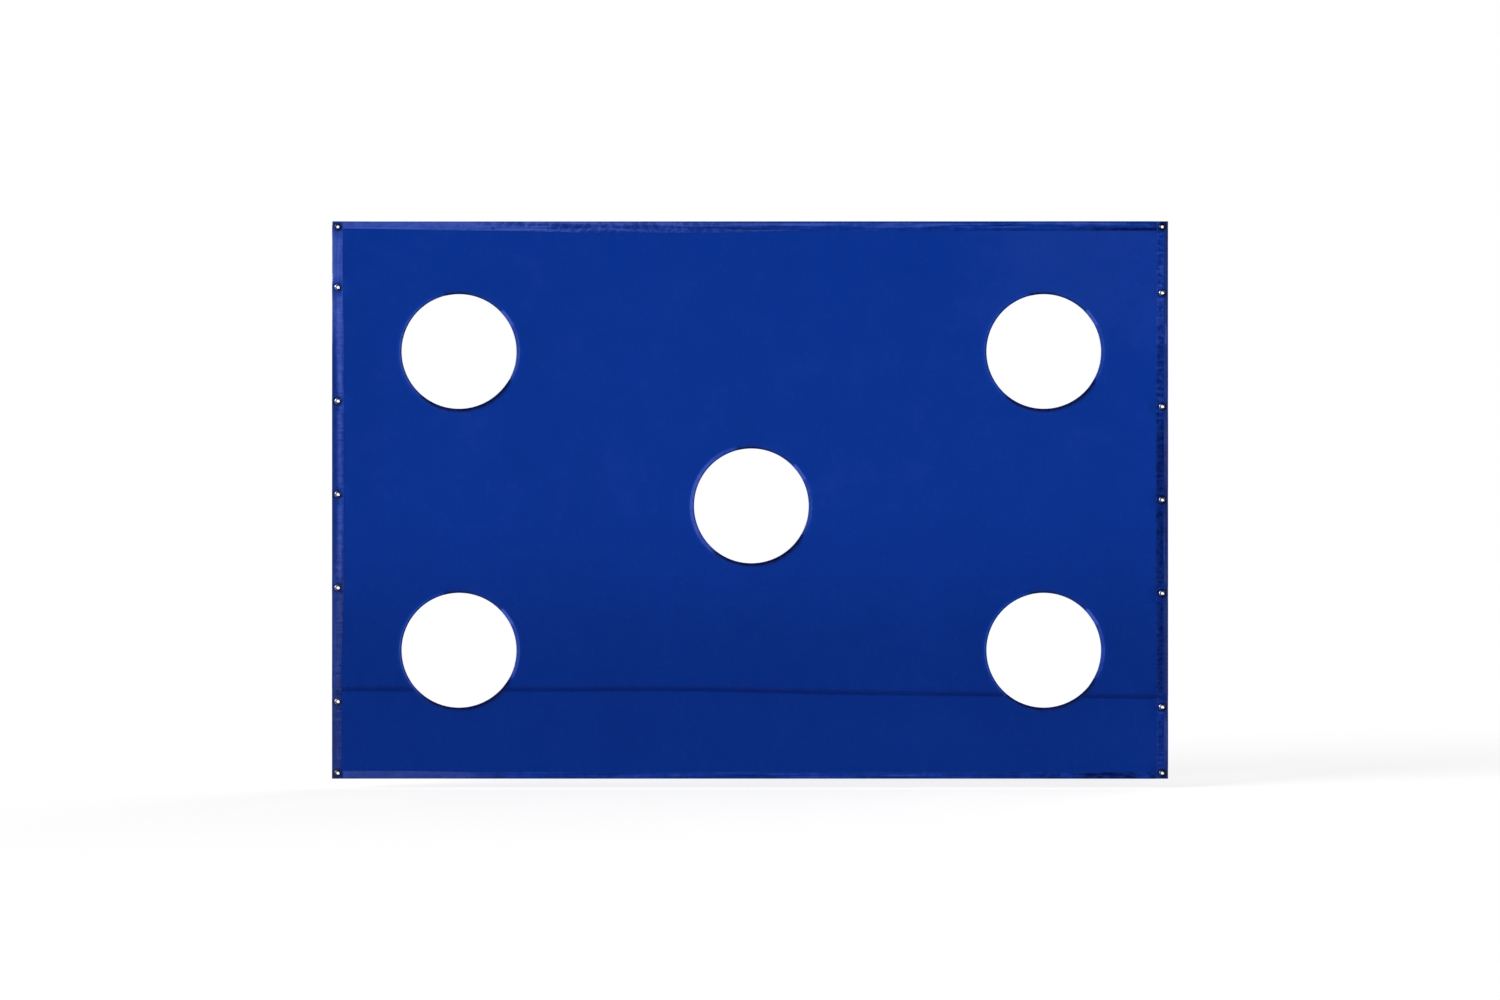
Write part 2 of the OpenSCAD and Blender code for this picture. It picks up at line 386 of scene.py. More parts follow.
def seam_line(x):
    """Height of the seam, which is the upper panel's lower edge."""
    cloth = bpy.context.scene.target_cloth
    bow = cloth.seam_bow * np.exp(-(((x + 0.24) / 0.44) ** 2))
    end = 3 * MM * np.exp(-(((x + 1.5) / 0.28) ** 2)) + 3 * MM * ramp(x, 0.8, 1.2)
    return SEAM_MIDDLE - SEAM_DROP * x / (2 * HALF_W) + bow - end + 0.5 * MM


def seam_ridge(x, z):
    """The sewn lap draws the cloth into a low ridge along the seam."""
    up = z - seam_line(x)
    crown = ramp(up, -3 * MM, LAP - MM) * ramp(up, 0.12, LAP)
    hollow = ramp(up, -90 * MM, -2 * MM) * ramp(up, LAP, 0)
    gather = 1 + 0.35 * ripple(x, 31, 0.05)
    return (-1.5 * crown * gather + 0.35 * hollow) * MM


def drape(x, z):
    """How far the cloth's middle lies behind the flat plane, at any place on it."""
    x = np.asarray(x, float)
    z = np.asarray(z, float)
    height = (
        billow(x, z) + corner_creases(x, z) + side_turns(x, z) + hem_turns(x, z)
        + hole_lips(x, z) + seam_ridge(x, z))
    return height * flat_by_eyelets(x, z)


# ---- mesh helpers ----

def new_piece(name, points, faces, material, smooth_angle=math.radians(42)):
    """A smooth-shaded mesh object from points in metres."""
    mesh = bpy.data.meshes.new(name)
    mesh.from_pydata([tuple(p) for p in points], [], faces)
    mesh.validate()
    mesh.shade_smooth()
    mesh.set_sharp_from_angle(angle=smooth_angle)
    piece = bpy.data.objects.new(name, mesh)
    bpy.context.scene.collection.objects.link(piece)
    mesh.materials.append(material)
    return piece


def set_tone(piece, tone, chalk=0.0):
    """Keeps each point's tone, from 0 for painted shade to 1 for painted sheen, and its share of
    painted grey sheen, for the material."""
    for name, value in (("tone", tone), ("chalk", chalk + 0 * tone)):
        layer = piece.data.attributes.new(name, "FLOAT", "POINT")
        layer.data.foreach_set("value", np.clip(value, 0, 1).astype(np.float32))


def pairs(x, z):
    """Places on the sheet from their x and z, either of which may be one number."""
    return np.stack(np.broadcast_arrays(x, z), 1)


def circle_points(place, radius, count):
    """Places spaced evenly round a circle."""
    turn = np.arange(count) * 2 * math.pi / count
    return pairs(place[0] + radius * np.cos(turn), place[1] + radius * np.sin(turn))


def line_points(start, end, pitch):
    """Places along a straight line, about a pitch apart."""
    count = max(2, int(round(math.dist(start, end) / pitch)) + 1)
    return np.linspace(start, end, count)


def cloth_mesh(name, loops, lines, inner, kept, material, lift):
    """A closed sheet of cloth. Loops and lines are edges that its faces keep to, kept says
    which places are on it, and lift gives the height of its middle at any place."""
    points, edges = [], []
    for path, closed in [(p, True) for p in loops] + [(p, False) for p in lines]:
        first = len(points)
        points.extend(path)
        edges += [(i, i + 1) for i in range(first, len(points) - 1)]
        if closed:
            edges.append((len(points) - 1, first))
    points.extend(inner)
    made = delaunay_2d_cdt([Vector(p) for p in points], edges, [], 0, MERGE)
    flat = np.array([tuple(v) for v in made[0]])
    faces = np.array([tuple(f) for f in made[2]])
    corners = flat[faces]
    first, second = corners[:, 1] - corners[:, 0], corners[:, 2] - corners[:, 0]
    side = first[:, 0] * second[:, 1] - first[:, 1] * second[:, 0]
    faces[side < 0] = faces[side < 0][:, ::-1]
    centre = corners.mean(1)
    faces = faces[kept(centre[:, 0], centre[:, 1]) & (np.abs(side) > SLIVER)]
    used, faces = np.unique(faces, return_inverse=True)
    faces = faces.reshape(-1, 3)
    flat = flat[used]
    count = len(flat)
    height = lift(flat[:, 0], flat[:, 1])
    front = np.stack([flat[:, 0], height - FABRIC_HALF, flat[:, 1]], 1)
    back = np.stack([flat[:, 0], height + FABRIC_HALF, flat[:, 1]], 1)
    around = np.concatenate([faces[:, [0, 1]], faces[:, [1, 2]], faces[:, [2, 0]]]).tolist()
    seen = {(a, b) for a, b in around}
    all_faces = faces.tolist() + (faces[:, ::-1] + count).tolist()
    all_faces += [(a, count + a, count + b, b) for a, b in around if (b, a) not in seen]
    piece = new_piece(name, np.concatenate([front, back]), all_faces, material)
    return piece, np.concatenate([flat, flat])


def out_of_holes(x, z, radius, punched=True):
    """Which places lie outside the target holes and the punched eyelet holes."""
    kept = nearest(x, z, TARGET_PLACES) > radius
    if punched:
        kept &= nearest(x, z, EYELET_PLACES) > PUNCH_R - 0.2 * MM
    return kept


def face_of_tape(radius, leaves, puckers, raised):
    """One face of a folded tape, from its front leaf's edge round the fold to its back leaf's
    edge, as the depth into the cloth and the height off its middle at each point."""
    rows = []
    for side, depths in ((-1, leaves[0]), (1, leaves[1])):
        width = depths[0]
        leaf = []
        for depth in depths:
            share = np.clip(1.1 * (1 - depth / width), 0, 1)
            wave = puckers[side] * np.sin(math.pi * share)
            leaf.append((depth, side * (radius + raised + wave)))
        rows += leaf if side < 0 else leaf[::-1]
        if side < 0:
            for bend in FOLD_BENDS:
                out = radius + 0.7 * raised
                rows.append((TAPE_FACE - out * math.sin(bend), -out * math.cos(bend)))
    return rows


def folded_tape(name, spine, inward, leaves, puckers, material, raised=0.0, punched=False):
    """Tape folded over an edge. The spine runs along its fold and inward points into the
    cloth. Leaves holds the depths of the points across its front and its back."""
    stations = len(spine)
    rows = face_of_tape(TAPE_FACE, leaves, puckers, raised)
    rows += face_of_tape(TAPE_SLOT, leaves, puckers, raised)[::-1]
    loop = []
    for depth, away in rows:
        depth = np.broadcast_to(depth, (stations,))
        place = spine + inward * depth[:, None]
        if punched:
            still = flat_by_eyelets(place[:, 0], place[:, 1])
            level = np.sign(away) * np.minimum(np.abs(away), TAPE_FACE)
            away = np.where(np.abs(away) > TAPE_FACE, level + (away - level) * still, away)
        height = drape(place[:, 0], place[:, 1]) + away
        loop.append(np.stack([place[:, 0], height, place[:, 1]], 1))
    loop = np.stack(loop, 1)
    across = loop.shape[1]
    points = loop.reshape(-1, 3)
    grid = np.arange(len(points)).reshape(stations, across)
    after = np.roll(grid, -1, axis=1)
    quads = np.stack([grid[:-1], after[:-1], after[1:], grid[1:]], 2).reshape(-1, 4)
    faces = quads.tolist()
    half = across // 2
    for end in (grid[0], grid[-1][::-1]):
        faces += [[end[k], end[-1 - k], end[-2 - k], end[k + 1]] for k in range(half - 1)]
    if punched:
        near = nearest(points[:, 0], points[:, 2], EYELET_PLACES) < PUNCH_R + 0.1 * MM
        faces = [f for f in faces if not any(near[v] for v in f)]
        sides = [(a, b) for f in faces for a, b in zip(f, f[1:] + f[:1])]
        seen = set(sides)
        for a, b in sides:
            if (b, a) not in seen and a % across < half:
                mirror = [v - v % across + across - 1 - v % across for v in (a, b)]
                faces.append([b, a, mirror[0], mirror[1]])
    used, flat = np.unique(np.concatenate([np.ravel(f) for f in faces]), return_inverse=True)
    starts = np.cumsum([0] + [len(f) for f in faces])
    faces = [flat[starts[i]:starts[i + 1]].tolist() for i in range(len(faces))]
    return new_piece(name, points[used], faces, material)


def places(piece):
    """The places of a piece's points on the sheet, as x and z."""
    points = np.zeros(len(piece.data.vertices) * 3)
    piece.data.vertices.foreach_get("co", points)
    return points[0::3], points[2::3]


def stitches(start, end, away, thread):
    """A row of sewn stitches from start to end, each a low grain of thread. away is the
    direction off the cloth, -1 to the front."""
    along = end - start
    along = along / np.linalg.norm(along, axis=1, keepdims=True)
    out = np.zeros_like(along)
    out[:, 1] = away
    across = np.cross(along, out)
    centre = (start + end) / 2
    rim = [
        centre + out * thread * 0.52,
        centre + across * thread * 0.5 + out * thread * 0.05,
        centre - out * thread * 0.2,
        centre - across * thread * 0.5 + out * thread * 0.05]
    sunk = out * thread * 0.12
    points = np.stack([start - sunk, end - sunk] + rim, 1).reshape(-1, 3)
    faces = []
    for first in range(0, len(points), 6):
        for k in range(4):
            a, b = first + 2 + k, first + 2 + (k + 1) % 4
            faces += [(first, a, b), (first + 1, b, a)]
    return points, faces


def stitched(name, rows):
    """One piece from several rows of stitches."""
    sizes = bpy.context.scene.target_stitching
    points, faces = [], []
    count = 0
    for path, away in rows:
        reach = np.concatenate([[0], np.cumsum(np.linalg.norm(np.diff(path, axis=0), axis=1))])
        begin = np.arange(2 * MM, reach[-1] - sizes.length, sizes.pitch)
        start, end = (
            np.stack([np.interp(begin + past, reach, path[:, i]) for i in range(3)], 1)
            for past in (0, sizes.length))
        some, found = stitches(start, end, away, sizes.thread)
        points.append(some)
        faces += [tuple(v + count for v in f) for f in found]
        count += len(some)
    thread = finish_named("sewing_thread", sewing_thread)
    return new_piece(name, np.concatenate(points), faces, thread, math.radians(80))


def row_on(x, z, away, face):
    """A line of places that lies on the cloth, face off its middle."""
    return np.stack([x, drape(x, z) + away * face, z], 1)


def lattice():
    """Staggered points over the whole sheet, closer near its edges."""
    pitch = bpy.context.scene.target_cloth.mesh_pitch
    rows = []
    z = -HALF_H + pitch / 2
    while z < HALF_H:
        odd = len(rows) % 2
        rows.append(pairs(np.arange(-HALF_W + pitch * (0.25 + 0.5 * odd), HALF_W, pitch), z))
        z += pitch * ROW_SHARE
    points = np.concatenate(rows)
    by_side = HALF_W - np.abs(points[:, 0]) < SIDE_FINE
    by_hem = HALF_H - np.abs(points[:, 1]) < HEM_FINE
    up = np.arange(-HALF_H + 5 * MM, HALF_H, 7 * MM)
    along = np.arange(-HALF_W + 60 * MM, HALF_W - 58 * MM, 8 * MM)
    fine = []
    for side in SIDES.values():
        fine += [pairs(side * (HALF_W - depth * MM), up) for depth in SIDE_LINES]
        fine += [pairs(along, side * (HALF_H - depth * MM)) for depth in HEM_LINES]
    return np.concatenate([points[~(by_side | by_hem)]] + fine)


def hole_rings(cut_r):
    """Rings of points round each target hole, for its lip."""
    return np.concatenate([
        circle_points(place, cut_r + out * MM, RIM_POINTS)
        for place in TARGET_PLACES for out in RIM_RINGS])


def clear_of(points, places, radius):
    """The points further than radius from all the places."""
    return points[nearest(points[:, 0], points[:, 1], places) > radius]


# ---- finishes ----

class Graph:
    """Shader nodes under construction."""

    def __init__(self, tree):
        self.nodes = tree.nodes
        self.links = tree.links

    def fill(self, node, inputs):
        """Links a node's inputs to other nodes, or sets their values."""
        for socket, value in inputs.items():
            if isinstance(value, NodeSocket):
                self.links.new(value, node.inputs[socket])
            else:
                node.inputs[socket].default_value = value

    def add(self, kind, inputs=None, **traits):
        """Makes a node and gives its outputs."""
        node = self.nodes.new("ShaderNode" + kind)
        for trait, value in traits.items():
            setattr(node, trait, value)
        self.fill(node, inputs or {})
        return node.outputs

    def remap(self, value, low, high, start=0.0, end=1.0, **traits):
        """The value, with low to high carried over to start to end."""
        inputs = {"Value": value, "From Min": low, "From Max": high, "To Min": start, "To Max": end}
        return self.add("MapRange", inputs, **traits)["Result"]

    def maths(self, operation, first, second):
        """One operation on two values."""
        return self.add("Math", {0: first, 1: second}, operation=operation)[0]

    def mix(self, share, first, second):
        """The first colour, with a share of the second."""
        return self.add("Mix", {"Factor": share, 6: first, 7: second}, data_type="RGBA")[2]


class Finish(Graph):
    """A material under construction, in the piece's own coordinates."""

    def __init__(self, name):
        self.material = bpy.data.materials.new(name)
        self.material.use_nodes = True
        super().__init__(self.material.node_tree)
        self.place = self.add("TexCoord")["Object"]

    def noise(self, scale, detail, rough=0.5, stretch=(1, 1, 1)):
        """Smooth noise from 0 to 1 over the piece."""
        place = self.add("Mapping", {"Vector": self.place, "Scale": stretch})["Vector"]
        inputs = {"Vector": place, "Scale": scale, "Detail": detail, "Roughness": rough}
        return self.add("TexNoise", inputs)["Fac"]

    def varied(self, start, end, *noise):
        """A noise that wanders from start to end."""
        return self.remap(self.noise(*noise), 0.3, 0.7, start, end)

    def bands(self, axis, pitch):
        """Slightly wavy bands across an axis, a pitch apart."""
        inputs = {
            "Vector": self.place, "Scale": math.pi / (10 * pitch), "Distortion": 0.4, "Detail": 1}
        return self.add("TexWave", inputs, wave_type="BANDS", bands_direction=axis)["Fac"]

    def kept(self, name):
        """A value that the mesh keeps at each point."""
        return self.add("Attribute", attribute_name=name)["Fac"]

    def toned(self, colour, clouds, spots):
        """The colour from painted shade to painted sheen by the mesh's tone, mottled, then greyed by
        painted grey sheen.
        """
        tone = self.maths("ADD", self.kept("tone"), self.maths("ADD", clouds, spots))
        # Below a tone of 0.5 the colour takes painted shade, above it painted sheen, then painted
        # grey sheen over both
        shaded = self.mix(self.remap(tone, 0.0, 0.5), SHADE_BLUE, colour)
        with_sheen = self.mix(self.remap(tone, 0.5, 1.0), shaded, SHEEN_BLUE)
        return self.mix(self.kept("chalk"), with_sheen, GREY_SHEEN_BLUE)

    def relief(self, *layers):
        """Bumps one over another, each with its height, depth and strength."""
        under = {}
        for height, depth, strength in layers:
            inputs = {"Height": height, "Distance": depth, "Strength": strength, **under}
            under = {"Normal": self.add("Bump", inputs)["Normal"]}
        return under["Normal"]

    def made(self, inputs):
        """Gives the surface its inputs and returns the material."""
        self.fill(self.nodes["Principled BSDF"], inputs)
        return self.material


def coated_cloth():
    """Blue coated cloth: scrim under a satin coating, faintly clouded and handled, with the painted
    light and shade that its mesh's tone carries.
    """
    settings = bpy.context.scene.target_finish
    f = Finish("coated_cloth")
    clouds = f.varied(-0.020, 0.020, 5.5, 5, 0.62)
    spots = f.varied(-0.008, 0.008, 38, 3, 0.6)
    creased = f.noise(26, 4, 0.55)
    grain = f.noise(620, 2, 0.6)
    scrim = f.maths("MULTIPLY", f.bands("X", settings.weave), f.bands("Z", settings.weave))
    return f.made({
        "Base Color": f.toned(settings.cloth, clouds, spots),
        "Roughness": f.varied(0.22, 0.30, 14, 4, 0.6),
        "Specular IOR Level": 0.06,
        "Normal": f.relief(
            (creased, 0.35 * MM, 0.5), (grain, 0.04 * MM, 0.5), (scrim, 0.05 * MM, 0.6)),
    })


def smooth_tape():
    """Smooth coated tape, glossier than the cloth, with fine creases from folding."""
    f = Finish("smooth_tape")
    clouds = f.varied(-0.09, 0.09, 30, 4, 0.65)
    spots = f.varied(-0.05, 0.05, 130, 3, 0.6)
    creased = f.noise(95, 4, 0.6)
    grain = f.noise(900, 2, 0.6)
    return f.made({
        # The tape's colour carries the painted shade, sheen and grey sheen of its mesh
        "Base Color": f.toned(bpy.context.scene.target_finish.tape, clouds, spots),
        "Roughness": f.varied(0.16, 0.26, 60, 4, 0.6),
        "Specular IOR Level": 0.26,
        "Normal": f.relief((creased, 0.25 * MM, 0.5), (grain, 0.04 * MM, 0.5)),
    })


def sewing_thread():
    """Twisted polyester thread."""
    colour = bpy.context.scene.target_finish.thread
    light = [min(1, c * 1.7) for c in colour[:3]] + [1]
    f = Finish("sewing_thread")
    fibres = f.noise(1500, 3, 0.6)
    return f.made({
        "Base Color": f.mix(f.remap(fibres, 0.35, 0.65), colour, light),
        "Roughness": f.remap(fibres, 0.3, 0.7, 0.5, 0.7),
        "Normal": f.relief((f.bands("DIAGONAL", 0.35 * MM), 0.08 * MM, 0.7)),
    })


def plated_brass():
    """Pressed brass under dull scratched nickel, with painted brown shade on the eyelets at the
    sheet's corners.
    """
    plating = bpy.context.scene.target_finish.plating
    dull = [c * 0.6 for c in plating[:3]] + [1]
    f = Finish("plated_brass")
    metal = f.mix(f.remap(f.noise(160, 4, 0.6), 0.38, 0.62), plating, dull)
    # Painted brown shade on the eyelets at the sheet's top and bottom corners
    height = f.add("SeparateXYZ", {0: f.place})["Z"]
    top_corners = f.remap(height, 0.955, 0.965, 0, 0.93)
    bottom_corners = f.remap(height, -0.965, -0.955, 0.72, 0)
    corner_shade = f.maths("MAXIMUM", top_corners, bottom_corners)
    return f.made({
        "Base Color": f.mix(corner_shade, metal, CORNER_SHADE_BROWN),
        "Metallic": 1,
        "Roughness": f.varied(0.24, 0.38, 420, 4, 0.6),
        "Normal": f.relief((f.noise(800, 2, 0.5, (1, 1, 9)), 0.02 * MM, 0.6)),
    })


def finish_named(name, maker):
    """A finish that is made once and then shared."""
    return bpy.data.materials.get(name) or maker()


# ---- pieces ----

def dress(piece, slot, *nodes):
    """A piece rides on the sheet and stands for its nodes, which it hides. slot is not used."""
    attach(piece, "root")
    if nodes:
        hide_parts(*nodes)


def cloth_light_and_shade(x, z):
    """Painted light and shade on the cloth: darker low down and at the right, lighter at the
    top right, and a painted shaded line along the seam."""
    right = ramp(x, 0.6, 1.1)
    up = z - seam_line(x)
    # Painted shade low down and at the lower right, painted light at the top right
    tone = 0.5 - 0.15 * ramp(z, 0, -0.62) + 0.02 * ramp(z, -0.68, -0.88)
    tone += 0.04 * right * ramp(z, 0.4, 0.8) - 0.025 * right * ramp(z, 0.1, -0.1)
    # Painted shade along the seam's lap
    return tone - 0.17 * ramp(up, -7 * MM, 0) * ramp(up, 21 * MM, 3 * MM)


def seam_rows(x, *rises):
    """Rows of points that run along the seam, each some way above it."""
    return np.concatenate([pairs(x, seam_line(x) + rise * MM) for rise in rises])


def streaks(along, depth, seed, count, longest, deepest):
    """Random long thin streaks that run along a tape, light and dark."""
    rng = np.random.default_rng(seed)
    total = np.zeros_like(along)
    for _ in range(count):
        start = rng.uniform(-HALF_W - longest / 2, HALF_W)
        length = longest * rng.uniform(0.2, 1)
        line = rng.uniform(0.15, 0.95) * deepest
        strength = rng.uniform(-1, 1)
        total += strength * (
            between(along, start, start + length, 0.4 * length)
            * between(depth, line - 2.2 * MM, line + 2.2 * MM, 4 * MM))
    return total


def crease_shading(along, depth, seed):
    """Painted light along random creases in all directions and painted shade between them."""
    field = waves(along, 1.5 * depth, seed, 0.018, 0.08, 12) / 0.05
    return 0.8 - 1.5 * np.clip(np.abs(field) * 1.3, 0, 1)


def shares(width, steps):
    """Depths across a leaf from its width, for one width or one at each station."""
    return [TAPE_FACE + (width - TAPE_FACE) * s for s in steps]


def bind(name, spine, inward, leaves, steps, wave, tones, raised=0.0, punched=False):
    """Folds tape over an edge, gives it its tones and sews it. Leaves holds the widths of its
    front and back and wave the size of its puckers, all along the spine. tones gives the
    painted light and shade and the painted grey sheen at any place."""
    scene = bpy.context.scene
    inward = np.broadcast_to(inward, spine.shape)
    leaves = [np.broadcast_to(leaf, len(spine)) for leaf in leaves]
    wave = scene.target_cloth.pucker * wave
    piece = folded_tape(
        name + "_tape", spine, inward, [shares(leaf, steps) for leaf in leaves],
        {-1: wave, 1: wave[::-1]}, finish_named("smooth_tape", smooth_tape), raised, punched)
    set_tone(piece, *tones(*places(piece)))
    rows = []
    for away, leaf in zip((-1, 1), leaves):
        inset = np.minimum(scene.target_stitching.inset, 0.4 * leaf)
        line = spine + inward * (leaf - inset)[:, None]
        path = row_on(line[:, 0], line[:, 1], away, TAPE_FACE)
        path[:, 1] += away * raised
        rows.append((path, away))
    stitching = stitched(piece.name + "_stitching", rows)
    dress(stitching, "binding_tape")
    dress(piece, "binding_tape", name + "_binding")


class TARGETSHEET_OT_panels(Operator):
    """Make the two panels of coated cloth, lapped along the seam"""

    bl_idname = "target_sheet.panels"
    bl_label = "Panels"

    def execute(self, context):
        cloth = context.scene.target_cloth
        cloth_finish = finish_named("coated_cloth", coated_cloth)
        cut_r = cloth.hole_radius + CUT_GAP
        loose_r = cut_r + RIM_GAP
        lap_r = cloth.hole_radius + LAP_CLEAR
        edge_x, edge_z = HALF_W - CUT_GAP, HALF_H - CUT_GAP
        lap_x = HALF_W - SIDE_BAND - RIM_GAP
        past_edge = HALF_W + 0.01

        corners = [(-edge_x, -edge_z), (edge_x, -edge_z), (edge_x, edge_z), (-edge_x, edge_z)]
        loops = [np.concatenate([
            line_points(start, end, 9 * MM)[:-1]
            for start, end in zip(corners, corners[1:] + corners[:1])])]
        loops += [circle_points(p, cut_r, RIM_POINTS) for p in TARGET_PLACES]
        loops += [circle_points(p, PUNCH_R, PUNCH_POINTS) for p in EYELET_PLACES]
        collars = [
            circle_points(p, r, COLLAR_POINTS) for p in EYELET_PLACES for r in COLLAR_RADII]
        inner = np.concatenate([lattice(), hole_rings(cut_r)])
        inner = clear_of(inner, TARGET_PLACES, loose_r)
        inner = np.concatenate([clear_of(inner, EYELET_PLACES, FLAT_R + MM)] + collars)
        inner = inner[(np.abs(inner[:, 0]) < edge_x - MM) & (np.abs(inner[:, 1]) < edge_z - MM)]
        up = inner[:, 1] - seam_line(inner[:, 0])

        x = np.linspace(-past_edge, past_edge, 300)
        seam = seam_rows(x, 0)
        along = np.linspace(-lap_x, lap_x, 280)
        above = clear_of(seam_rows(along, 3, 7, 12, 17, 22), TARGET_PLACES, loose_r)

        def on_upper(x, z):
            """Which places lie on the upper panel."""
            return ((z > seam_line(x)) & out_of_holes(x, z, cut_r) & (np.abs(x) < edge_x)
                    & (z < edge_z))

        upper, flat = cloth_mesh(
            "upper_cloth", loops, [seam], np.concatenate([inner[up > 26 * MM], above]),
            on_upper, cloth_finish, drape)
        set_tone(upper, cloth_light_and_shade(flat[:, 0], flat[:, 1]))
        dress(upper, "coated_fabric", "upper_panel")
        self.declare(upper, 2 * edge_x, edge_z - float(seam[:, 1].min()))

        ends = np.array([lap_x + 0.5 * MM, lap_x + 2 * MM, past_edge])
        x = np.concatenate([-ends[::-1], along, ends])
        lap = pairs(x, seam_line(x) + LAP * (np.abs(x) <= lap_x))
        below = clear_of(seam_rows(along, -7, -4, -1, 3), TARGET_PLACES, loose_r)
        field = inner[(up < LAP - 3 * MM) & (np.abs(up + 2 * MM) > 7 * MM)]
        field = np.concatenate([field, below])
        rings = [circle_points(p, lap_r, RIM_POINTS) for p in TARGET_PLACES]

        def on_lower(x, z):
            """Which places lie on the lower panel or its lap."""
            lapped = z > seam_line(x)
            clear = out_of_holes(x, z, lap_r, punched=False)
            return ((z < np.interp(x, lap[:, 0], lap[:, 1])) & out_of_holes(x, z, cut_r)
                    & (~lapped | clear) & (np.abs(x) < edge_x) & (z > -edge_z))

        def stepped_back(x, z):
            """The height of the lower panel's middle, which goes behind the upper panel."""
            step = ramp(z - seam_line(x), -7 * MM, -MM)
            step *= ramp(np.abs(x), lap_x + 2 * MM, lap_x)
            step *= ramp(nearest(x, z, TARGET_PLACES), lap_r - RIM_GAP, lap_r)
            return drape(x, z) + step * LAP_STEP

        lower, flat = cloth_mesh(
            "lower_cloth", loops + rings, [lap], field, on_lower, cloth_finish, stepped_back)
        set_tone(lower, cloth_light_and_shade(flat[:, 0], flat[:, 1]))
        dress(lower, "coated_fabric", "lower_panel")
        self.declare(lower, 2 * edge_x, edge_z + float(lap[:, 1].max()))

        x = np.linspace(-lap_x, lap_x, 700)
        rows = []
        for rise in (4 * MM, 12 * MM):
            z = seam_line(x) + rise
            kept = out_of_holes(x, z, lap_r + 2 * MM, punched=False)
            for run in np.split(np.arange(len(x)), np.flatnonzero(np.diff(kept)) + 1):
                if kept[run[0]] and len(run) > 3:
                    back = stepped_back(x[run], z[run]) + FABRIC_HALF
                    rows.append((row_on(x[run], z[run], -1, FABRIC_HALF), -1))
                    rows.append((np.stack([x[run], back, z[run]], 1), 1))
        dress(stitched("seam_stitching", rows), "coated_fabric")
        return {"FINISHED"}

    @staticmethod
    def declare(piece, width, height):
        """Takes a panel, its width and its height, and does nothing with them."""


